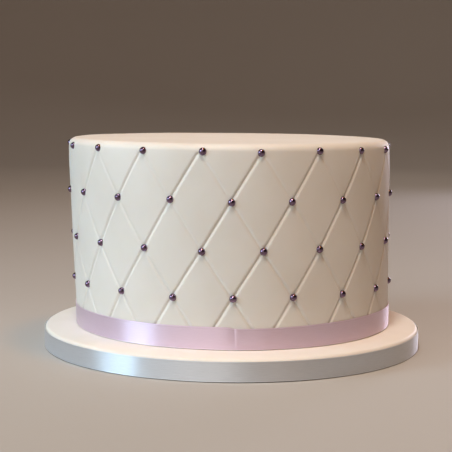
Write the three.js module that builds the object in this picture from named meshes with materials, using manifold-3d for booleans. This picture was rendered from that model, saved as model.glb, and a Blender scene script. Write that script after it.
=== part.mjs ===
// A round quilted celebration cake in one tier, on its iced drum.
// Millimetres, +Z up. The origin is the centre of the drum's underside and -Y is the front.
// An angle is counted in degrees from the front towards +X.
import * as THREE from "three";
import { mergeGeometries, mergeVertices } from "three/addons/utils/BufferGeometryUtils.js";
import Module from "manifold-3d";

// The iced drum that the cake is built on.
const drumRadius = 155.6;
const drumHeight = 18.7;
const drumWallHeight = 14.2;
const drumFootChamfer = 0.8;
const drumEdgeRound = 3.2;
const drumCrownRun = 16;
const drumSegments = 72;
const drumCurveSteps = 3;

// The cake, an inch or so smaller all round than its drum. Heights are above its base.
const cakeHeight = 152.9;
const cakeBaseRadius = 131.0;
const wallFlare = 0.0124; // the wall widens by this much for each millimetre of height
const cakeLean = -0.0217; // sideways shift of the axis for each millimetre of height
const topEdgeRun = 8.5;
const topEdgeDrop = 7.0;
const topEdgeSteps = 5;

// The quilting: pearls in rows, every other row half a step round, and grooves between them.
const pearlsPerRow = 18;
const rowHeights = [147.1, 110.6, 73.7, 38.7, 2.5]; // the last row is behind the ribbon
const rowTilt = 0.6; // the rows run this much lower at the right-hand side
const quiltTurn = 0.54;
const grooveDepth = 0.9;
const grooveShare = 0.03; // half a groove's width, as a share of the way between two grooves
const panelMarks = [0, grooveShare, 1 / 3, 2 / 3, 1 - grooveShare];

// The sugar pearls.
const pearlRadius = 3.0;
const pearlStandoff = 0.5; // how far a pearl's centre lies outside the wall
const pearlScatter = 0.7; // how far a pearl may lie off its place
const pearlSides = 8;

// The satin ribbons, each lapped over its own end.
const ribbonThickness = 0.45;
const ribbonGap = 0.3;
const ribbonSegments = 60;
const lapTurn = 5;
const lapFade = 4;
const cakeRibbonWidth = 17.0;
const cakeRibbonLift = 0.6;
const cakeRibbonJoin = 1.8;
const cakeRibbonStray = 1.3; // how low the upper end's top edge lies at the join
const drumRibbonWidth = 14.9;
const drumRibbonLift = 0.6;
const drumRibbonJoin = 178;
const strayHalfWave = 75;
const strayFade = 100;
const strayBelow = 0.6; // the share of a rise that the lower edge follows

const stepTurn = 180 / pearlsPerRow;
const marksPerStep = panelMarks.length;
const shownRows = rowHeights.length - 1;

const wasm = await Module();
wasm.setup();

const rad = THREE.MathUtils.degToRad;

// The point at an angle and radius round the cake's own axis, at a height above the cake's base.
function onCake(angle, radius, height) {
  const x = radius * Math.sin(rad(angle)) + cakeLean * height;
  return new THREE.Vector3(x, -radius * Math.cos(rad(angle)), drumHeight + height);
}

function wallRadius(height) {
  return cakeBaseRadius + wallFlare * height;
}

// How far the rounded top edge has drawn in at a height.
function edgeInset(height) {
  const up = Math.max(0, (height - (cakeHeight - topEdgeDrop)) / topEdgeDrop);
  return topEdgeRun * (1 - Math.sqrt(1 - Math.min(1, up) ** 2));
}

// The height of a place between the rows: 0 is the top row and 4 the hidden one.
function rowHeight(row, angle) {
  const above = THREE.MathUtils.clamp(Math.floor(row), 0, shownRows - 1);
  const level = THREE.MathUtils.lerp(rowHeights[above], rowHeights[above + 1], row - above);
  return level - rowTilt * Math.sin(rad(angle));
}

// A place along one set of grooves. Whole numbers are the grooves themselves.
function alongLattice(index) {
  const step = Math.floor(index / marksPerStep);
  return step + panelMarks[index - step * marksPerStep];
}

// A place in a groove next to a crossing is moved to the crossing, where the pearl covers it.
function underPearl(right, left) {
  const crossing = [Math.round(right), Math.round(left)];
  const away = Math.abs(right - crossing[0]) + Math.abs(left - crossing[1]);
  return away < 1.5 * grooveShare ? crossing : [right, left];
}

// One ring of the quilted wall, from groove lines that run down to the right and to the left.
function quiltRing(level) {
  const ring = [];
  for (let column = 0; column < pearlsPerRow * marksPerStep; column += 1) {
    const across = 2 * column + (level % 2);
    const downRight = alongLattice((level + across) / 2);
    const downLeft = alongLattice((level - across) / 2);
    const [right, left] = underPearl(downRight, downLeft);
    const angle = stepTurn * (right - left + 1) + quiltTurn;
    const height = rowHeight(right + left, angle);
    const inGroove = Number.isInteger(right) || Number.isInteger(left);
    const depth = inGroove ? grooveDepth : 0;
    ring.push({ angle, height, radius: wallRadius(height) - edgeInset(height) - depth });
  }
  return ring;
}

// The rounded edge, on the same angles as the top row.
function edgeRings(topRow) {
  const rings = [];
  const start = Math.asin(1 - (cakeHeight - rowHeights[0] - rowTilt) / topEdgeDrop);
  for (let step = 1; step <= topEdgeSteps; step += 1) {
    const turn = THREE.MathUtils.lerp(start, Math.PI / 2, step / topEdgeSteps);
    const height = cakeHeight - topEdgeDrop * (1 - Math.sin(turn));
    const radius = wallRadius(height) - topEdgeRun * (1 - Math.cos(turn));
    rings.push(topRow.map(({ angle }) => ({ angle, height, radius })));
  }
  return rings;
}

// The closed body of the cake: rings from the top edge down, with a flat top and base.
function cakeBody() {
  const quilt = [];
  for (let level = 0; level <= shownRows * marksPerStep; level += 1) {
    quilt.push(quiltRing(level));
  }
  const lastRow = quilt[quilt.length - 1];
  const base = lastRow.map(({ angle }) => ({ angle, height: 0, radius: cakeBaseRadius }));
  const rings = [...edgeRings(quilt[0]).reverse(), ...quilt, base];
  const firstQuilt = topEdgeSteps;
  const lastQuilt = topEdgeSteps + quilt.length - 1;
  const count = base.length;
  const points = rings.flat().map(({ angle, radius, height }) => onCake(angle, radius, height));
  const faces = [];
  for (let r = 0; r + 1 < rings.length; r += 1) {
    // Between quilt rings each place lies half a step round from those above and below it.
    const quilted = r >= firstQuilt && r < lastQuilt;
    const shift = quilted && (r - firstQuilt) % 2 === 1 ? 1 : 0;
    for (let c = 0; c < count; c += 1) {
      const next = (c + 1) % count;
      const top = r * count + c;
      const topNext = r * count + next;
      const low = (r + 1) * count + c;
      const lowNext = (r + 1) * count + next;
      if (shift) {
        faces.push(top, low, lowNext, top, lowNext, topNext);
      } else {
        faces.push(top, low, topNext, topNext, low, lowNext);
      }
    }
  }
  addCap(points, faces, 0, count, cakeHeight, true);
  addCap(points, faces, (rings.length - 1) * count, count, 0, false);
  return solidFrom(points, faces);
}

// A fan that closes a ring of points about the cake's axis.
function addCap(points, faces, first, count, height, facesUp) {
  const centre = points.length;
  points.push(onCake(0, 0, height));
  for (let c = 0; c < count; c += 1) {
    const here = first + c;
    const next = first + ((c + 1) % count);
    faces.push(centre, facesUp ? here : next, facesUp ? next : here);
  }
}

// A small shift between -1 and 1 that is the same each time for the same pearl.
function scatter(row, column, salt) {
  const wave = Math.sin(row * 12.9898 + column * 78.233 + salt * 37.719) * 43758.5453;
  return 2 * (wave - Math.floor(wave)) - 1;
}

// One pearl, half sunk into the wall with its pole facing straight out.
function pearl(row, column) {
  const half = (row + 1) % 2;
  const sideways = (pearlScatter * scatter(row, column, 1)) / rad(1) / cakeBaseRadius;
  const angle = stepTurn * (2 * column + half) + quiltTurn + sideways;
  const height = rowHeight(row, angle) + pearlScatter * scatter(row, column, 2);
  const radius = wallRadius(height) - edgeInset(height) + pearlStandoff;
  const shape = new THREE.SphereGeometry(pearlRadius, pearlSides, pearlSides / 2);
  const place = onCake(angle, radius, height);
  shape.rotateZ(rad(angle));
  shape.translate(place.x, place.y, place.z);
  return shape;
}

function allPearls() {
  const pearls = [];
  for (let row = 0; row < shownRows; row += 1) {
    for (let column = 0; column < pearlsPerRow; column += 1) {
      pearls.push(pearl(row, column));
    }
  }
  return solidOf(mergeGeometries(pearls));
}

function solidFrom(points, faces) {
  const shape = new THREE.BufferGeometry().setFromPoints(points);
  shape.setIndex(faces);
  return solidOf(shape);
}

// A closed geometry as a solid that can be joined with another.
function solidOf(geometry) {
  geometry.deleteAttribute("normal");
  geometry.deleteAttribute("uv");
  const merged = mergeVertices(geometry, 1e-3);
  const vertProperties = new Float32Array(merged.attributes.position.array);
  const triVerts = new Uint32Array(merged.index.array);
  return new wasm.Manifold(new wasm.Mesh({ numProp: 3, vertProperties, triVerts }));
}

function geometryOf(solid) {
  const { numProp, vertProperties, triVerts } = solid.getMesh();
  const shape = new THREE.BufferGeometry();
  const corners = new THREE.InterleavedBuffer(vertProperties, numProp);
  shape.setAttribute("position", new THREE.InterleavedBufferAttribute(corners, 3, 0));
  shape.setIndex(new THREE.BufferAttribute(triVerts, 1));
  const flat = shape.toNonIndexed();
  flat.computeVertexNormals();
  return flat;
}

// The radius of a ribbon's corners whose flats clear what it goes round by the gap.
function aroundIt(radius) {
  return (radius + ribbonGap) / Math.cos(Math.PI / ribbonSegments);
}

// A plain band of ribbon standing on its edge. From the join on, one end lies over the other.
function ribbonBand(innerRadius, width, join, stray) {
  const lapEnd = (turn) => 1 - THREE.MathUtils.smoothstep(turn, lapTurn, lapTurn + lapFade);
  const outer = [];
  const inner = [];
  for (let i = 0; i < ribbonSegments; i += 1) {
    const turn = (360 * i) / ribbonSegments;
    const lap = ribbonThickness * lapEnd(turn);
    if (i === 0) outer.push(ribbonPoint(join, innerRadius + ribbonThickness));
    outer.push(ribbonPoint(join + turn, innerRadius + ribbonThickness + lap));
    inner.push(ribbonPoint(join + turn, innerRadius));
  }
  const outline = new THREE.Shape(outer);
  outline.holes.push(new THREE.Path(inner));
  const band = new THREE.ExtrudeGeometry(outline, { depth: width, bevelEnabled: false });
  const place = band.attributes.position;
  for (let i = 0; i < place.count; i += 1) {
    const turn = turnFrom(join, place.getX(i), place.getY(i), innerRadius);
    const lift = edgeStray(turn, stray);
    const isTop = place.getZ(i) > width / 2;
    place.setZ(i, place.getZ(i) + (isTop ? lift : strayBelow * Math.max(0, lift)));
  }
  return band;
}

function ribbonPoint(angle, radius) {
  return new THREE.Vector2(radius * Math.sin(rad(angle)), -radius * Math.cos(rad(angle)));
}

// How far round from the join a point of the band is. The lower layer is at the far end there.
function turnFrom(join, x, y, innerRadius) {
  const angle = THREE.MathUtils.radToDeg(Math.atan2(x, -y));
  const turn = THREE.MathUtils.euclideanModulo(angle - join, 360);
  const atJoin = Math.min(turn, 360 - turn) < 0.01;
  const isUpper = Math.hypot(x, y) > innerRadius + 1.5 * ribbonThickness;
  return atJoin ? (isUpper ? 0 : 360) : turn;
}

// The top edge starts low at the join, swings up round the side and settles towards the back.
function edgeStray(turn, stray) {
  return -stray * Math.cos((Math.PI * turn) / strayHalfWave) * Math.exp(-turn / strayFade);
}

// The drum's outline from the axis at its underside to the axis at its top.
function drumOutline() {
  const points = [new THREE.Vector2(0, 0)];
  points.push(new THREE.Vector2(drumRadius - drumFootChamfer, 0));
  points.push(new THREE.Vector2(drumRadius, drumFootChamfer));
  const roundCentre = drumRadius - drumEdgeRound;
  for (let i = 0; i <= drumCurveSteps; i += 1) {
    const turn = (Math.PI / 2) * (i / drumCurveSteps);
    const x = roundCentre + drumEdgeRound * Math.cos(turn);
    points.push(new THREE.Vector2(x, drumWallHeight + drumEdgeRound * Math.sin(turn)));
  }
  const shoulder = drumWallHeight + drumEdgeRound;
  for (let i = 1; i <= drumCurveSteps; i += 1) {
    const share = i / drumCurveSteps;
    const rise = Math.sin((share * Math.PI) / 2);
    const x = roundCentre - drumCrownRun * share;
    points.push(new THREE.Vector2(x, THREE.MathUtils.lerp(shoulder, drumHeight, rise)));
  }
  points.push(new THREE.Vector2(0, drumHeight));
  return points;
}

// LatheGeometry turns its outline about Y, so the drum is stood up onto Z.
function drumShape() {
  return new THREE.LatheGeometry(drumOutline(), drumSegments).rotateX(Math.PI / 2);
}

function finish(color, roughness) {
  return new THREE.MeshStandardMaterial({ color, roughness, metalness: 0 });
}

function named(name, geometry, material) {
  const mesh = new THREE.Mesh(geometry, material);
  mesh.name = name;
  return mesh;
}

const ivoryIcing = finish(0xe6dfd4, 0.55);
const creamIcing = finish(0xf2e6d8, 0.6);
const lilacSatin = finish(0xc9acc4, 0.35);
const whiteSatin = finish(0xdfe3ea, 0.35);

const cake = named("cake", geometryOf(cakeBody().add(allPearls())), ivoryIcing);

const cakeRibbonInner = aroundIt(wallRadius(cakeRibbonWidth));
const cakeRibbonShape = ribbonBand(
  cakeRibbonInner,
  cakeRibbonWidth,
  cakeRibbonJoin,
  cakeRibbonStray,
);
const cakeRibbon = named("cake_ribbon", cakeRibbonShape, lilacSatin);
cakeRibbon.position.set((cakeLean * cakeRibbonWidth) / 2, 0, drumHeight + cakeRibbonLift);

const drum = named("drum", drumShape(), creamIcing);

const drumRibbonInner = aroundIt(drumRadius);
const drumRibbonShape = ribbonBand(drumRibbonInner, drumRibbonWidth, drumRibbonJoin, 0);
const drumRibbon = named("drum_ribbon", drumRibbonShape, whiteSatin);
drumRibbon.position.z = drumRibbonLift;

const quiltedCake = new THREE.Group();
quiltedCake.add(drum, drumRibbon, cake, cakeRibbon);

export default quiltedCake;
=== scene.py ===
import math

import bmesh
import bpy
from mathutils import Matrix, Vector, kdtree, noise


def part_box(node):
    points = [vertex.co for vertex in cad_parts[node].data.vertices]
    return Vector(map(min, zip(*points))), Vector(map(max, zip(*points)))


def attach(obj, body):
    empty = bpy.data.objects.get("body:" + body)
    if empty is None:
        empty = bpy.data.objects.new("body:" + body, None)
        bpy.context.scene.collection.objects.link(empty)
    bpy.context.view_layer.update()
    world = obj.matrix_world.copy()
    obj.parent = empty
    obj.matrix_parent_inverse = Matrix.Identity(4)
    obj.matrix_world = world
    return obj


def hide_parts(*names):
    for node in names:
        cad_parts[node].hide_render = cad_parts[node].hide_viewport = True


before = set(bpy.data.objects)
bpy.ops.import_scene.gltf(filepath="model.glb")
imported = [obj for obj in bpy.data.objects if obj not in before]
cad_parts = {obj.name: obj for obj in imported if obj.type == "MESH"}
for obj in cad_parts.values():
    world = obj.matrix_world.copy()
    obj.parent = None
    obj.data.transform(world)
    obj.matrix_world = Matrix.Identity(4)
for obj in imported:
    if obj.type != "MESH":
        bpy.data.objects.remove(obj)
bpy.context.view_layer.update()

scene = bpy.context.scene
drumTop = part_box("drum")[1].z
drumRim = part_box("drum")[1].x  # radius of the drum without its ribbon


# Everyday helpers

def deselectAll():
    if bpy.context.object and bpy.context.object.mode != 'OBJECT':
        bpy.ops.object.mode_set(mode='OBJECT')
    bpy.ops.object.select_all(action='DESELECT')


def nameNewPiece(name):
    piece = bpy.context.object
    piece.name = name
    piece.data.name = name
    return piece


def applyPlace(piece):
    deselectAll()
    piece.select_set(True)
    bpy.context.view_layer.objects.active = piece
    bpy.ops.object.transform_apply(location=True, rotation=True, scale=True)


def applyModifier(piece, kind, **values):
    deselectAll()
    piece.select_set(True)
    bpy.context.view_layer.objects.active = piece
    modifier = piece.modifiers.new(kind.title(), kind)
    for key, value in values.items():
        setattr(modifier, key, value)
    bpy.ops.object.modifier_apply(modifier=modifier.name)


def pickVertices(piece, wanted):  # leaves the piece in edit mode with these vertices selected
    bpy.ops.object.mode_set(mode='EDIT')
    bpy.ops.mesh.select_mode(type='VERT')
    bpy.ops.mesh.select_all(action='DESELECT')
    bpy.ops.object.mode_set(mode='OBJECT')
    for vertex in piece.data.vertices:
        vertex.select = wanted(vertex.co)
    bpy.ops.object.mode_set(mode='EDIT')


def mergeAndFaceOut(distance):  # on the active piece
    bpy.ops.object.mode_set(mode='EDIT')
    bpy.ops.mesh.select_all(action='SELECT')
    bpy.ops.mesh.remove_doubles(threshold=distance)
    bpy.ops.mesh.normals_make_consistent(inside=False)
    bpy.ops.object.mode_set(mode='OBJECT')


def smooth(piece, angle=180):
    deselectAll()
    piece.select_set(True)
    bpy.context.view_layer.objects.active = piece
    if angle < 180:
        bpy.ops.object.shade_smooth_by_angle(angle=math.radians(angle))
    else:
        bpy.ops.object.shade_smooth()


def ease(value, start, end):  # 0 before start, 1 after end, smooth between
    share = min(1.0, max(0.0, (value - start) / (end - start)))
    return share * share * (3 - 2 * share)


def uneven(place, size, salt=0.0):  # slow random rise and fall, always the same for a place
    return noise.noise(place / size + Vector((salt, 2.7 * salt, -1.3 * salt)))


# Everyday nodes

def newMaterial(name, **sockets):  # a Principled material; sockets are set on the shader itself
    material = bpy.data.materials.new(name)
    material.use_nodes = True
    shader = material.node_tree.nodes["Principled BSDF"]
    for key, value in sockets.items():
        shader.inputs[key].default_value = value
    return material, shader


def addNode(material, kind, **values):
    node = material.node_tree.nodes.new(kind)
    for key, value in values.items():
        if key in node.inputs:
            node.inputs[key].default_value = value
        else:
            setattr(node, key, value)
    return node


def link(material, source, target):
    material.node_tree.links.new(source, target)


def coordinates(material, output, scale=(1, 1, 1)):
    spot = addNode(material, 'ShaderNodeTexCoord')
    mapping = addNode(material, 'ShaderNodeMapping', Scale=scale)
    link(material, spot.outputs[output], mapping.inputs["Vector"])
    return mapping.outputs["Vector"]


def noiseAt(material, vector, size, detail=2.0, roughness=0.5):
    texture = addNode(material, 'ShaderNodeTexNoise', Scale=1.0 / size, Detail=detail, Roughness=roughness)
    link(material, vector, texture.inputs["Vector"])
    return texture.outputs["Fac"]


def ramp(material, source, stops):  # stops are (position, colour)
    node = addNode(material, 'ShaderNodeValToRGB')
    while len(node.color_ramp.elements) < len(stops):
        node.color_ramp.elements.new(0.5)
    for element, (position, colour) in zip(node.color_ramp.elements, stops):
        element.position = position
        element.color = (*colour, 1.0)
    link(material, source, node.inputs["Fac"])
    return node.outputs["Color"]


def shaded(material, source, colours):  # from dark to light
    dark, light = colours
    return ramp(material, source, [(0.3, dark), (0.7, light)])


def mottled(material, vector, size, colours, detail=4.0):  # dark and light in soft blotches
    return shaded(material, noiseAt(material, vector, size, detail), colours)


def spread(material, source, low, high, fromLow=0.3, fromHigh=0.7):
    node = addNode(material, 'ShaderNodeMapRange')
    for key, value in (("From Min", fromLow), ("From Max", fromHigh), ("To Min", low), ("To Max", high)):
        node.inputs[key].default_value = value
    link(material, source, node.inputs["Value"])
    return node.outputs["Result"]


def bump(material, height, distance, strength, before=None):
    node = addNode(material, 'ShaderNodeBump', Distance=distance, Strength=strength)
    link(material, height, node.inputs["Height"])
    if before is not None:
        link(material, before, node.inputs["Normal"])
    return node.outputs["Normal"]


# Camera, where the photo was taken from

cameraView = {
    "place": (-0.00169, -1.0365, 0.20713),
    "yaw": -0.195,
    "pitch": -6.031,
    "roll": 0.503,
    "lens": 99.04,
    "sensor": 36.0,
    "clip": (0.01, 60.0),
}


def buildCamera(view):
    bpy.ops.object.camera_add(location=view["place"])
    camera = bpy.context.object
    camera.name = "viewpoint"
    turn = Matrix.Rotation(math.radians(-view["yaw"]), 4, 'Z')
    turn @= Matrix.Rotation(math.radians(90 + view["pitch"]), 4, 'X')
    turn @= Matrix.Rotation(math.radians(view["roll"]), 4, 'Z')
    camera.rotation_euler = turn.to_euler()
    camera.data.lens = view["lens"]
    camera.data.sensor_width = view["sensor"]
    camera.data.clip_start, camera.data.clip_end = view["clip"]
    scene.camera = camera


# The cake's form, in metres, with angles in degrees from the front towards +X

cakeForm = {
    "baseRadius": 0.1310,
    "height": 0.1529,
    "flare": 0.0124,  # the wall widens by this share of its height
    "lean": -0.0217,  # the axis leans to the left by this share of its height
    "drawIn": (0.0010, 0.128),  # the wall draws in by this much, above this height
    "tuck": (0.0019, 0.14),  # the left side draws in by this much at the foot, and less up to this height
    "edgeRun": 0.0060,
    "edgeDrop": 0.0056,
    "rowHeights": (0.1471, 0.1106, 0.0737, 0.0387, 0.0025),  # the last row is behind the ribbon
    "rowTilt": 0.0006,  # the rows run lower at the right
    "pearlsPerRow": 18,
    "quiltTurn": 0.54,
}


def onCake(angle, radius, height):
    turn = math.radians(angle)
    inward, top = cakeForm["tuck"]
    x = radius * math.sin(turn) + cakeForm["lean"] * height
    x += inward * max(0.0, 1 - height / top) * max(0.0, -math.sin(turn)) ** 4
    return Vector((x, -radius * math.cos(turn), drumTop + height))


def onDrum(angle, radius, height):
    turn = math.radians(angle)
    return Vector((radius * math.sin(turn), -radius * math.cos(turn), height))


def angleOnCake(place):  # undoes onCake, apart from the tuck
    x = place.x - cakeForm["lean"] * (place.z - drumTop)
    return math.degrees(math.atan2(x, -place.y))


def wallRadius(height):
    inward, start = cakeForm["drawIn"]
    up = max(0.0, (height - start) / (cakeForm["height"] - start))
    return cakeForm["baseRadius"] + cakeForm["flare"] * height - inward * up * up


def edgeInset(height):  # how far the rounded top edge has drawn in
    up = (height - cakeForm["height"] + cakeForm["edgeDrop"]) / cakeForm["edgeDrop"]
    return cakeForm["edgeRun"] * (1 - math.sqrt(1 - min(1.0, max(0.0, up)) ** 2))


def rowHeight(row, angle):  # row 0 is the top row of pearls
    heights = cakeForm["rowHeights"]
    above = min(len(heights) - 2, max(0, math.floor(row)))
    level = heights[above] + (heights[above + 1] - heights[above]) * (row - above)
    return level - cakeForm["rowTilt"] * math.sin(math.radians(angle))


# Sugar pearls

pearlSettings = {
    "radius": 0.00285,
    "uneven": (0.03, 0.004),  # a hand-rolled ball isn't quite round: by what share, in bumps of what size
    "standoff": -0.0005,  # from the wall out to their centres, so they are pressed in a little
    "scatter": 0.0007,  # how far off their places they are, at most
    "sizeSpread": 0.03,
    "segments": 16,
    "rings": 10,
    "strays": {  # (row, column) of those set off sideways by hand
        (0, 17): 0.0026, (0, 16): 0.0015, (0, 15): 0.0010, (0, 2): -0.0014, (0, 4): 0.0020, (2, 4): 0.0020},
}


def scatter(row, column, salt):  # from -1 to 1, always the same for a pearl
    wave = math.sin(row * 12.9898 + column * 78.233 + salt * 37.719) * 43758.5453
    return 2 * (wave - math.floor(wave)) - 1


def pearlSpots(values):  # (row, column, angle, height)
    spots = []
    stepTurn = 180 / cakeForm["pearlsPerRow"]
    for row in range(len(cakeForm["rowHeights"]) - 1):
        for column in range(cakeForm["pearlsPerRow"]):
            usual = values["scatter"] * scatter(row, column, 1)
            sideways = values["strays"].get((row, column), usual)
            angle = stepTurn * (2 * column + (row + 1) % 2) + cakeForm["quiltTurn"]
            angle += math.degrees(sideways / cakeForm["baseRadius"])
            height = rowHeight(row, angle) + values["scatter"] * scatter(row, column, 2)
            spots.append((row, column, angle, height))
    return spots


def pearlCentre(angle, height, standoff):
    return onCake(angle, wallRadius(height) - edgeInset(height) + standoff, height)


def buildPearls(values):
    deselectAll()
    bpy.ops.mesh.primitive_uv_sphere_add(
        segments=values["segments"], ring_count=values["rings"], radius=values["radius"])
    first = nameNewPiece("sugarPearls")
    bumpShare, bumpSize = values["uneven"]
    for vertex in first.data.vertices:
        vertex.co *= 1 + bumpShare * uneven(vertex.co, bumpSize, 5.0)
    smooth(first)
    copies = []
    for row, column, angle, height in pearlSpots(values):
        copy = first.copy()
        copy.data = first.data.copy()
        scene.collection.objects.link(copy)
        size = 1 + values["sizeSpread"] * scatter(row, column, 3)
        turn = Matrix.Rotation(math.radians(angle), 4, 'Z')
        roll = Matrix.Rotation(math.pi * scatter(row, column, 4), 4, 'Y')
        place = Matrix.Translation(pearlCentre(angle, height, values["standoff"]))
        copy.data.transform(place @ turn @ roll @ Matrix.Scale(size, 4))
        copies.append(copy)
    bpy.data.objects.remove(first)
    deselectAll()
    for copy in copies:
        copy.select_set(True)
    bpy.context.view_layer.objects.active = copies[0]
    bpy.ops.object.join()
    pearls = nameNewPiece("sugarPearls")
    pearls.data.materials.clear()
    pearls.data.materials.append(pearlFinish(pearlFinishSettings))
    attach(pearls, "root")
    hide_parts("cake")
    print("pearls:", len(copies))


# Rolled icing with embossed lines

icingSettings = {
    "cellSteps": 28,
    "pinch": 0.85,  # draws the mesh lines together beside the grooves
    "grooveGap": 0.0389,  # from one groove to the next, square to them
    "grooveHalf": 0.0018,
    "grooveDepth": 0.00072,
    "grooveVee": 0.35,  # how far the groove's section is from round towards a V
    "faintShare": (0.38, 0.88),  # how hard the lines that run down right are pressed, top and foot
    "faintRows": (0.5, 3.5),  # the rows between which that changes
    "faintLeft": (0.55, -75, 38),  # and less again by this share, about this angle and this far from it
    "lip": (0.00006, 1.35, 0.45),  # icing pushed up: how high, then where and how wide in half grooves
    "shoulder": (0.00012, 3.0),  # the panels sink towards the grooves: how deep, how wide in half grooves
    "dimple": (0.0002, 0.0036),  # depth and reach of the press round a pearl
    "slowWave": (0.00022, 0.055),  # height and size of the unevenness, and of a finer one
    "quickWave": (0.00005, 0.014),
    "startRows": 0.06,  # the grooves fade in over this much of a row, under the top row of pearls
    "footFade": 0.003,  # the unevenness fades in over this height, so the foot stays on the drum
    "edgeSteps": 10,
    "topRings": (0.97, 0.9, 0.78, 0.62, 0.44, 0.26, 0.1),
    "merge": 0.00002,
}


def grooveRelief(away, values):  # away is the distance from the groove's middle
    across = away / values["grooveHalf"]
    if across < 1:
        cut = values["grooveDepth"] * (1 - across * across) ** 1.5 * (1 - values["grooveVee"] * across)
    else:
        cut = 0.0
    lipHeight, lipMiddle, lipWidth = values["lip"]
    lip = lipHeight * math.exp(-((across - lipMiddle) / lipWidth) ** 2)
    shoulderDepth, shoulderWidth = values["shoulder"]
    sunk = shoulderDepth * math.exp(-across / shoulderWidth)
    return lip - cut - sunk


def icingPoint(spot, values):  # spot.x and spot.y count the grooves that run down right and down left
    angle = 180 / cakeForm["pearlsPerRow"] * (spot.x - spot.y + 1) + cakeForm["quiltTurn"]
    row = spot.x + spot.y
    height = rowHeight(row, angle)
    relief = 0.0
    faintTop, faintFoot = values["faintShare"]
    share, middle, reach = values["faintLeft"]
    faint = faintTop + (faintFoot - faintTop) * ease(row, *values["faintRows"])
    faint *= 1 - share * math.exp(-(((angle + 180) % 360 - 180 - middle) / reach) ** 2)
    for along, press in ((spot.x, 1.0), (spot.y, faint)):
        away = abs(along - round(along)) * values["grooveGap"]
        line = press * grooveRelief(away, values)
        relief = min(relief, line) if relief < 0 else line
    relief *= ease(row, 0.0, values["startRows"])
    return onCake(angle, wallRadius(height) - edgeInset(height) + relief, height)


def extrudeRing(piece, place):  # pulls the selected loop out to a new one, placed by its angles
    bpy.ops.mesh.extrude_region_move()
    form = bmesh.from_edit_mesh(piece.data)
    for vertex in form.verts:
        if vertex.select:
            vertex.co = place(angleOnCake(vertex.co))
    bmesh.update_edit_mesh(piece.data)


def edgePoint(angle, share):  # share 0 at the quilting and 1 where the top is flat
    drop = cakeForm["edgeDrop"]
    start = math.asin(max(0.0, (rowHeight(0, angle) - cakeForm["height"] + drop) / drop))
    turn = start + (math.pi / 2 - start) * share
    height = cakeForm["height"] - drop * (1 - math.sin(turn))
    return onCake(angle, wallRadius(height) - cakeForm["edgeRun"] * (1 - math.cos(turn)), height)


def buildIcing(values):  # one diamond's grid, repeated, cut to the rows and then laid round the cake
    deselectAll()
    steps = values["cellSteps"]
    bpy.ops.mesh.primitive_grid_add(x_subdivisions=steps, y_subdivisions=steps, size=1)
    icing = nameNewPiece("quiltedIcing")
    for vertex in icing.data.vertices:
        for axis in (0, 1):
            share = vertex.co[axis] + 0.5
            vertex.co[axis] = share - values["pinch"] * math.sin(2 * math.pi * share) / (2 * math.pi)
        vertex.co.x -= 1
    rows = len(cakeForm["rowHeights"])
    near = 0.0005  # in diamonds
    for count, stepOver in ((cakeForm["pearlsPerRow"], (1, -1, 0)), (rows, (1, 0, 0))):
        applyModifier(icing, 'ARRAY', count=count, use_relative_offset=False, use_constant_offset=True,
                      constant_offset_displace=stepOver, use_merge_vertices=True, merge_threshold=near)
    bpy.ops.object.mode_set(mode='EDIT')
    bpy.ops.mesh.select_all(action='SELECT')
    bpy.ops.mesh.bisect(plane_co=(0, 0, 0), plane_no=(1, 1, 0), clear_inner=True, threshold=near)
    bpy.ops.mesh.select_all(action='SELECT')
    bpy.ops.mesh.bisect(plane_co=(rows - 1, 0, 0), plane_no=(1, 1, 0), clear_outer=True, threshold=near)
    bpy.ops.object.mode_set(mode='OBJECT')
    for name, level in (("topRow", 0), ("baseRow", rows - 1)):
        group = icing.vertex_groups.new(name=name)
        onRow = [vertex.index for vertex in icing.data.vertices
                 if abs(vertex.co.x + vertex.co.y - level) < 2 * near]
        group.add(onRow, 1.0, 'REPLACE')
    for vertex in icing.data.vertices:
        vertex.co = icingPoint(vertex.co, values)
    mergeAndFaceOut(values["merge"])
    closeIcing(icing, values)
    pressAndUneven(icing, values)
    smooth(icing)
    icing.data.materials.append(fondantFinish(fondantSettings))
    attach(icing, "root")
    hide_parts("cake")
    print("icing:", len(icing.data.polygons), "faces")
    return icing


def pickGroup(piece, name):
    bpy.ops.object.mode_set(mode='EDIT')
    bpy.ops.mesh.select_mode(type='VERT')
    bpy.ops.mesh.select_all(action='DESELECT')
    piece.vertex_groups.active = piece.vertex_groups[name]
    bpy.ops.object.vertex_group_select()


def closeIcing(icing, values):
    pickGroup(icing, "topRow")
    for step in range(1, values["edgeSteps"] + 1):
        extrudeRing(icing, lambda angle: edgePoint(angle, step / values["edgeSteps"]))
    for share in values["topRings"]:
        extrudeRing(icing, lambda angle: onCake(
            angle, share * (wallRadius(cakeForm["height"]) - cakeForm["edgeRun"]), cakeForm["height"]))
    bpy.ops.mesh.extrude_region_move()
    bpy.ops.mesh.merge(type='CENTER')
    pickGroup(icing, "baseRow")
    extrudeRing(icing, lambda angle: onCake(angle, wallRadius(0), 0))
    bpy.ops.mesh.edge_face_add()
    bpy.ops.object.mode_set(mode='OBJECT')
    icing.vertex_groups.clear()
    mergeAndFaceOut(values["merge"])


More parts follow.
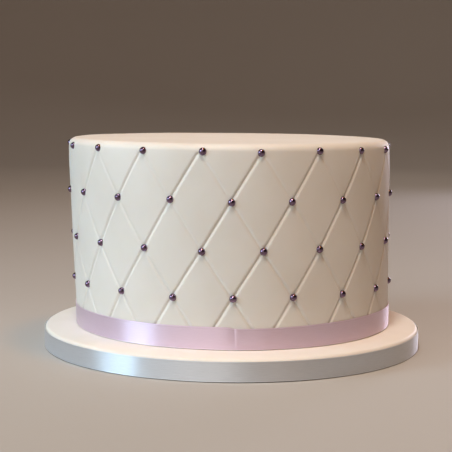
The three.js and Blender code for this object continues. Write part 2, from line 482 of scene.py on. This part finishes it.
def pressAndUneven(icing, values):  # dimples under the pearls, and the waves of hand-smoothed icing
    spots = pearlSpots(pearlSettings)
    tree = kdtree.KDTree(len(spots))
    for index, (row, column, angle, height) in enumerate(spots):
        tree.insert(pearlCentre(angle, height, 0), index)
    tree.balance()
    slowRise, slowSize = values["slowWave"]
    quickRise, quickSize = values["quickWave"]
    dimpleDepth, dimpleReach = values["dimple"]
    icing.data.update()
    moves = []
    for vertex in icing.data.vertices:
        away = tree.find(vertex.co)[2]
        rise = slowRise * uneven(vertex.co, slowSize, 3.0) + quickRise * uneven(vertex.co, quickSize, 9.0)
        rise -= dimpleDepth * math.exp(-(away / dimpleReach) ** 2)
        rise *= ease(vertex.co.z, drumTop, drumTop + values["footFade"])
        moves.append(vertex.normal * rise)
    for vertex, move in zip(icing.data.vertices, moves):
        vertex.co += move
    icing.data.update()


# Satin ribbons

satinRibbon = {  # what both ribbons share; turns are in degrees from the join, round to the lap
    "lift": 0.0006,  # above what it stands on
    "clearance": 0.00035,
    "thickness": 0.00022,
    "lapOut": 1.4,  # the upper end lies this many thicknesses further out
    "strayHalfWave": 75.0,  # from the join on, the upper edge swings by edgeStray, half a wave in this turn
    "strayFade": 100.0,  # and settles over this one
    "underTurn": (357.0, 361.5),  # where the under end runs down behind the upper one
    "footShare": 0.6,  # where the upper edge rises, the lower one does by this share of it
    "waverLength": 0.05,
    "rippleLength": 0.022,
    "rippleAcross": 0.6,  # how much the ripples change from edge to edge
    "hemSwell": 0.9,  # the share of the folded end's rise that fades towards the lower edge
    "noiseRadius": 0.13,
    "fineSteps": (24, 0.009),  # closer mesh lines at the folded end: how many, over what run
    "stepsAcross": 8,
}

lilacSettings = {
    **satinRibbon,
    "name": "lilacRibbon",
    "width": 0.0170,
    "join": 1.1,
    "lap": 10.0,
    "lapFade": 5.0,
    "edgeStray": 0.0013,  # how low the upper end's top edge lies at the join
    "underDip": 0.0015,
    "waver": 0.0003,
    "ripple": 0.00012,
    "hem": (0.0005, 0.0013, 0.009),  # the folded end: how proud, by where it is up, by where it lies flat
    "steps": 400,
    "finish": "lilacSatin",
    "colours": ((0.79, 0.63, 0.78), (0.85, 0.69, 0.84)),  # dark and light
    "metallic": 0.5,
}

whiteSettings = {
    **satinRibbon,
    "name": "whiteRibbon",
    "width": 0.0149,
    "join": 178.0,
    "lap": 9.0,
    "lapFade": 4.0,
    "edgeStray": 0.0003,
    "underDip": 0.0005,
    "waver": 0.0002,
    "ripple": 0.0003,
    "hem": (0.0005, 0.0012, 0.009),
    "steps": 440,
    "finish": "whiteSatin",
    "colours": ((0.70, 0.74, 0.80), (0.80, 0.84, 0.90)),
    "metallic": 0.6,
}


def ribbonLength(values, radius):
    return math.radians(360 + values["lap"]) * radius


def ribbonShare(share, values, length):  # closer mesh lines at the folded end
    fineCount, fineRun = values["fineSteps"]
    fineEnd = fineCount / values["steps"]
    if share < fineEnd:
        return share / fineEnd * fineRun / length
    return 1 - (1 - share) / (1 - fineEnd) * (1 - fineRun / length)


def upperEdgeStray(turn, spot, values):
    stray = -values["edgeStray"] * math.cos(math.pi * turn / values["strayHalfWave"])
    stray *= math.exp(-turn / values["strayFade"])
    stray += values["waver"] * uneven(spot, values["waverLength"], 4.0)
    return stray - values["underDip"] * ease(turn, *values["underTurn"])


def ribbonOut(turn, fromEnd, across, spot, values):  # how far it stands off its closest fit
    lapEnd = values["lap"]
    out = values["lapOut"] * values["thickness"] * (1 - ease(turn, lapEnd, lapEnd + values["lapFade"]))
    hemRise, hemUp, hemFlat = values["hem"]
    fold = ease(fromEnd, 0, hemUp) - ease(fromEnd, hemUp, hemFlat)
    out += hemRise * fold * (1 - values["hemSwell"] + values["hemSwell"] * across ** 3)
    return out + values["ripple"] * (0.5 + uneven(spot, values["rippleLength"], 7.0))


def buildRibbon(values, radiusAt, placeAt):  # a flat strip, wound once round and lapped
    deselectAll()
    radius = radiusAt(values["width"] / 2)
    length = ribbonLength(values, radius + values["clearance"])
    bpy.ops.mesh.primitive_grid_add(
        x_subdivisions=values["steps"], y_subdivisions=values["stepsAcross"], size=1)
    ribbon = nameNewPiece(values["name"])
    for corner in ribbon.data.uv_layers.active.data:
        corner.uv.x = ribbonShare(corner.uv.x, values, length)
    for vertex in ribbon.data.vertices:
        along = ribbonShare(vertex.co.x + 0.5, values, length)
        across = vertex.co.y + 0.5
        turn = along * (360 + values["lap"])
        angle = values["join"] + turn
        ring = math.radians(angle)
        spot = Vector((math.sin(ring), math.cos(ring), turn / 360)) * values["noiseRadius"]
        stray = upperEdgeStray(turn, spot, values)
        low = values["footShare"] * max(0.0, stray)
        height = values["lift"] + low + (values["width"] + stray - low) * across
        spot.z += values["rippleAcross"] * height
        out = values["clearance"] + ribbonOut(turn, along * length, across, spot, values)
        vertex.co = placeAt(angle, radiusAt(height) + out, height)
    applyModifier(ribbon, 'SOLIDIFY', thickness=values["thickness"], offset=0.0, use_even_offset=True)
    smooth(ribbon, 60)
    ribbon.data.materials.append(satinFinish(values, satinWeave, ribbonLength(values, radius)))
    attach(ribbon, "root")
    print(values["name"], "flat length", round(length, 4))
    return ribbon, length


# Iced drum

drumSettings = {
    "wallHeight": 0.0142,
    "edgeRound": 0.0032,
    "crownRun": 0.016,
    "boardThickness": 0.012,
    "boardInset": 0.0004,
    "steps": 240,
    "roundSteps": 8,
    "crownSteps": 8,
    "wave": (0.00018, 0.045),  # height and size of the unevenness
    "waveFrom": (0.133, 0.140),  # it fades in outside the cake
    "boardBevel": 0.0006,
    "paperRadius": 0.148,
    "paperThickness": 0.0003,
    "merge": 0.00001,
}


def buildDrumIcing(values):  # a profile spun round the drum's axis
    deselectAll()
    bpy.ops.mesh.primitive_circle_add(vertices=3, radius=drumRim)  # gives way to the profile
    icing = nameNewPiece("drumIcing")
    bpy.ops.object.mode_set(mode='EDIT')
    bpy.ops.mesh.select_all(action='SELECT')
    bpy.ops.mesh.delete(type='VERT')
    outline = [(0.0, values["boardThickness"]), (drumRim, values["boardThickness"])]
    centre = drumRim - values["edgeRound"]
    for step in range(values["roundSteps"] + 1):
        turn = math.pi / 2 * step / values["roundSteps"]
        outline.append((centre + values["edgeRound"] * math.cos(turn),
                        values["wallHeight"] + values["edgeRound"] * math.sin(turn)))
    shoulder = values["wallHeight"] + values["edgeRound"]
    for step in range(1, values["crownSteps"] + 1):
        share = step / values["crownSteps"]
        rise = math.sin(share * math.pi / 2)
        outline.append((centre - values["crownRun"] * share, shoulder + (drumTop - shoulder) * rise))
    outline.append((0.0, drumTop))
    form = bmesh.from_edit_mesh(icing.data)
    corners = [form.verts.new((radius, 0, height)) for radius, height in outline]
    for first, second in zip(corners, corners[1:]):
        form.edges.new((first, second))
    bmesh.update_edit_mesh(icing.data)
    bpy.ops.mesh.select_all(action='SELECT')
    bpy.ops.mesh.spin(steps=values["steps"], angle=2 * math.pi, center=(0, 0, 0), axis=(0, 0, 1))
    bpy.ops.object.mode_set(mode='OBJECT')
    mergeAndFaceOut(values["merge"])
    rise, size = values["wave"]
    for vertex in icing.data.vertices:
        radius = math.hypot(vertex.co.x, vertex.co.y)
        shown = ease(radius, *values["waveFrom"]) * ease(vertex.co.z, values["wallHeight"], shoulder)
        vertex.co.z += rise * uneven(vertex.co, size, 6.0) * shown
    smooth(icing, 60)
    icing.data.materials.append(drumIcingFinish(drumIcingFinishSettings))
    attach(icing, "root")
    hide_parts("drum")
    print("drum icing:", len(icing.data.polygons), "faces")


def buildDrumBoard(values):  # the board under the icing, wrapped in foil paper with a disc over the folds
    deselectAll()
    depth = values["boardThickness"] - values["paperThickness"]
    bpy.ops.mesh.primitive_cylinder_add(
        vertices=values["steps"], radius=drumRim - values["boardInset"], depth=depth,
        location=(0, 0, values["paperThickness"] + depth / 2))
    board = nameNewPiece("drumBoard")
    applyPlace(board)
    applyModifier(board, 'BEVEL', width=values["boardBevel"], segments=3, limit_method='ANGLE')
    deselectAll()
    bpy.ops.mesh.primitive_cylinder_add(
        vertices=values["steps"], radius=values["paperRadius"], depth=values["paperThickness"] * 2,
        location=(0, 0, values["paperThickness"]))
    paper = nameNewPiece("drumPaper")
    applyPlace(paper)
    board.select_set(True)
    paper.select_set(True)
    bpy.context.view_layer.objects.active = board
    bpy.ops.object.join()
    smooth(board, 40)
    board.data.materials.append(boardFinish(boardFinishSettings))
    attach(board, "root")
    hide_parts("drum")
    print("drum board:", len(board.data.polygons), "faces")


# Finishes

fondantSettings = {
    "colours": ((0.79, 0.745, 0.685), (0.84, 0.80, 0.745)),  # dark and light
    "blotchSize": 0.05,
    "roughness": (0.44, 0.58),
    "roughnessSize": 0.012,
    "grain": (0.0011, 0.0001, 0.12),  # size, height and strength
    "dents": (0.006, 0.0003, 0.10),
}

drumIcingFinishSettings = {
    "colours": ((0.86, 0.81, 0.75), (0.90, 0.855, 0.80)),
    "blotchSize": 0.03,
    "grain": (0.0013, 0.0001, 0.15),
}

pearlFinishSettings = {
    "colours": ((0.145, 0.095, 0.155), (0.22, 0.155, 0.235)),
    "cloudSize": 0.0025,
    "roughness": (0.12, 0.2),
    "roughnessSize": 0.0012,
}

satinWeave = {
    "threads": (0.009, 0.00016),  # how long a thread shows, and how wide it is
    "threadBump": (0.00005, 0.15),  # height and strength
    "selvedge": (0.04, 0.06, 0.1),  # shares of the width where the edge ends, dips and turns to satin
    "selvedgeLightAndShade": (0.9, 1.05),
    # painted shade in the selvedge's dip and painted highlight on its raised edges, as shares of the thread
    # colour
    "selvedgeBump": (0.0001, 0.5),
}

boardFinishSettings = {
    "colours": ((0.72, 0.73, 0.75), (0.82, 0.83, 0.85)),
    "blotchSize": 0.01,
    "creases": (0.002, 0.0002, 0.2),
}


def roughened(material, vector, relief, detail, before=None):  # relief is size, height and strength
    size, height, strength = relief
    return bump(material, noiseAt(material, vector, size, detail), height, strength, before)


def fondantFinish(values):
    material, shader = newMaterial("rolledIcing", **{
        "Roughness": 0.5, "Specular IOR Level": 0.4, "Subsurface Weight": 0.25,
        "Subsurface Radius": (1.0, 0.75, 0.55), "Subsurface Scale": 0.0016})
    spot = coordinates(material, "Object")
    colour = mottled(material, spot, values["blotchSize"], values["colours"])
    link(material, colour, shader.inputs["Base Color"])
    shine = noiseAt(material, spot, values["roughnessSize"], 3.0)
    link(material, spread(material, shine, *values["roughness"]), shader.inputs["Roughness"])
    grain = roughened(material, spot, values["grain"], 3.0)
    link(material, roughened(material, spot, values["dents"], 2.0, grain), shader.inputs["Normal"])
    return material


def drumIcingFinish(values):
    material, shader = newMaterial("drumRolledIcing", **{
        "Roughness": 0.5, "Specular IOR Level": 0.4, "Subsurface Weight": 0.2,
        "Subsurface Radius": (1.0, 0.7, 0.5), "Subsurface Scale": 0.0016})
    spot = coordinates(material, "Object")
    colour = mottled(material, spot, values["blotchSize"], values["colours"])
    link(material, colour, shader.inputs["Base Color"])
    link(material, roughened(material, spot, values["grain"], 3.0), shader.inputs["Normal"])
    return material


def pearlFinish(values):
    material, shader = newMaterial("purplePearl", **{
        "Roughness": 0.16, "Metallic": 1.0, "Specular IOR Level": 0.8, "Coat Weight": 0.5,
        "Coat Roughness": 0.1, "Coat Tint": (0.95, 0.88, 1.0, 1.0)})
    spot = coordinates(material, "Object")
    colour = mottled(material, spot, values["cloudSize"], values["colours"], 3.0)
    link(material, colour, shader.inputs["Base Color"])
    shine = noiseAt(material, spot, values["roughnessSize"], 2.0)
    link(material, spread(material, shine, *values["roughness"]), shader.inputs["Roughness"])
    return material


def selvedgeRamp(material, across, places):  # high at the woven edges, with a low dip inside them: the height for their bump, and also the painted highlight on the edges and the painted shade in the dip
    end, dip, satin = places
    edge = [(0.0, 1.0), (end, 0.9), (dip, 0.0), (satin, 0.4)]
    edge += [(1 - position, level) for position, level in reversed(edge)]
    return ramp(material, across, [(position, (level, level, level)) for position, level in edge])


def satinFinish(ribbon, weave, length):  # the threads follow the ribbon's own UV map
    material, shader = newMaterial(ribbon["finish"], **{
        "Roughness": 0.42, "Metallic": ribbon["metallic"], "Specular IOR Level": 1.0, "Anisotropic": 0.88,
        "Anisotropic Rotation": 0.25, "Sheen Weight": 0.1, "Sheen Roughness": 0.4})
    threadLength, threadWidth = weave["threads"]
    grid = coordinates(material, "UV", (length / threadLength, ribbon["width"] / threadWidth, 1))
    threads = noiseAt(material, grid, 1.0, 2.0, 0.6)
    colour = shaded(material, threads, ribbon["colours"])
    across = addNode(material, 'ShaderNodeSeparateXYZ')
    link(material, coordinates(material, "UV"), across.inputs["Vector"])
    edge = selvedgeRamp(material, across.outputs["Y"], weave["selvedge"])
    # the thread colour darkened in the selvedge's dip and lightened on its raised edges: painted shade and
    # painted highlight laid over the real woven edge
    paintedEdgeLight = addNode(material, 'ShaderNodeVectorMath', operation='SCALE')
    link(material, colour, paintedEdgeLight.inputs["Vector"])
    link(material, spread(material, edge, *weave["selvedgeLightAndShade"], 0.0, 1.0), paintedEdgeLight.inputs["Scale"])
    link(material, paintedEdgeLight.outputs["Vector"], shader.inputs["Base Color"])
    relief = bump(material, edge, *weave["selvedgeBump"], bump(material, threads, *weave["threadBump"]))
    link(material, relief, shader.inputs["Normal"])
    tangent = addNode(material, 'ShaderNodeTangent', direction_type='UV_MAP')
    link(material, tangent.outputs["Tangent"], shader.inputs["Tangent"])
    return material


def boardFinish(values):
    material, shader = newMaterial("foilPaper", **{"Roughness": 0.45, "Metallic": 0.3})
    spot = coordinates(material, "Object")
    colour = mottled(material, spot, values["blotchSize"], values["colours"], 3.0)
    link(material, colour, shader.inputs["Base Color"])
    link(material, roughened(material, spot, values["creases"], 3.0), shader.inputs["Normal"])
    return material


# Stage: a pale floor that curves up all round, and soft light

stageSettings = {
    "floorRadius": 2.6,
    "coveRadius": 1.2,
    "coveSteps": 12,
    "sides": 96,
    "wallHeight": 3.2,
    "rim": 0.02,
    "colour": (0.47, 0.455, 0.435),
    "darker": 0.98,  # the floor's dark blotches, as a share of its colour
    "blotchSize": 0.4,
}


def buildFloor(values):
    deselectAll()
    bpy.ops.mesh.primitive_circle_add(
        vertices=values["sides"], radius=values["floorRadius"], fill_type='NGON')
    floor = nameNewPiece("floor")
    bpy.ops.object.mode_set(mode='EDIT')
    bpy.ops.mesh.select_all(action='SELECT')
    bpy.ops.mesh.inset(thickness=values["rim"])
    bpy.ops.object.mode_set(mode='OBJECT')
    reach = values["floorRadius"] - values["rim"] / 4
    pickVertices(floor, lambda co: math.hypot(co.x, co.y) > reach)
    steps = values["coveSteps"]
    for step in range(1, steps + 2):  # the last step is the straight wall above the cove
        turn = min(1.0, step / steps) * math.pi / 2
        out = values["floorRadius"] + values["coveRadius"] * math.sin(turn)
        up = values["coveRadius"] * (1 - math.cos(turn)) + (values["wallHeight"] if step > steps else 0)
        bpy.ops.mesh.extrude_region_move()
        form = bmesh.from_edit_mesh(floor.data)
        for vertex in form.verts:
            if vertex.select:
                flat = Vector((vertex.co.x, vertex.co.y, 0)).normalized() * out
                vertex.co = (flat.x, flat.y, up)
        bmesh.update_edit_mesh(floor.data)
    bpy.ops.mesh.select_all(action='SELECT')
    bpy.ops.mesh.normals_make_consistent(inside=True)
    bpy.ops.object.mode_set(mode='OBJECT')
    smooth(floor)
    material, shader = newMaterial("paleFloor", **{"Roughness": 0.7, "Specular IOR Level": 0.2})
    spot = coordinates(material, "Object")
    colours = (tuple(values["darker"] * part for part in values["colour"]), values["colour"])
    colour = mottled(material, spot, values["blotchSize"], colours, 2.0)
    link(material, colour, shader.inputs["Base Color"])
    floor.data.materials.append(material)


# Turn from the front towards +X and rise above level are in degrees, and away is from the point aimed at
lightSettings = {
    "window": {"turn": -68, "rise": 18, "away": 2.08, "size": 0.8, "beam": 60,
               "power": 2.9, "colour": (0.58, 0.82, 0.98)},
    "front": {"turn": -30, "rise": 30, "away": 2.56, "size": 2.2, "beam": 60,
              "power": 3.6, "colour": (1.0, 0.97, 0.91)},
    "overhead": {"turn": -10, "rise": 69.7, "away": 2.58, "size": 0.32, "beam": 180,
                 "power": 35.2, "colour": (1.0, 0.915, 0.83)},
    "lamp": {"turn": 60, "rise": 72, "away": 2.58, "size": 0.35, "beam": 180,
             "power": 13.5, "colour": (1.0, 0.42, 0.04)},
    "rim": {"turn": 151, "rise": 8, "away": 2.1, "size": 0.5, "beam": 100,
            "power": 2.6, "colour": (0.9, 0.85, 1.0)},
    "back": {"turn": 172, "rise": 32, "away": 2.72, "size": 1.92, "beam": 180,
             "power": 5.1, "colour": (1.0, 0.87, 0.78)},
}
worldLight = {"colour": (1.0, 0.45, 0.35), "strength": 0.05}
lightAim = (0, 0, 0.09)


def buildLights(lights, world):
    middle = Vector(lightAim)
    for name, values in lights.items():
        turn, rise = math.radians(values["turn"]), math.radians(values["rise"])
        aim = Vector((math.sin(turn) * math.cos(rise), -math.cos(turn) * math.cos(rise), math.sin(rise)))
        bpy.ops.object.light_add(type='AREA', location=middle + values["away"] * aim)
        light = bpy.context.object
        light.name = name
        light.data.size = values["size"]
        light.data.spread = math.radians(values["beam"])
        light.data.energy = values["power"]
        light.data.color = values["colour"]
        light.rotation_euler = (middle - light.location).to_track_quat('-Z', 'Y').to_euler()
        light.visible_camera = False
    scene.world = bpy.data.worlds.new("studio")
    scene.world.use_nodes = True
    background = scene.world.node_tree.nodes["Background"]
    background.inputs["Color"].default_value = (*world["colour"], 1.0)
    background.inputs["Strength"].default_value = world["strength"]


# Everything in order

buildCamera(cameraView)
print("camera done")
buildPearls(pearlSettings)
icing = buildIcing(icingSettings)
buildDrumIcing(drumSettings)
buildDrumBoard(drumSettings)

lilacRibbon, lilacFlat = buildRibbon(lilacSettings, wallRadius, onCake)
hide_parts("cake_ribbon")

whiteRibbon, whiteFlat = buildRibbon(whiteSettings, lambda height: drumRim, onDrum)
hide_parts("drum_ribbon")

buildFloor(stageSettings)
buildLights(lightSettings, worldLight)
scene.view_settings.view_transform = 'Standard'
print("stage and lights done")
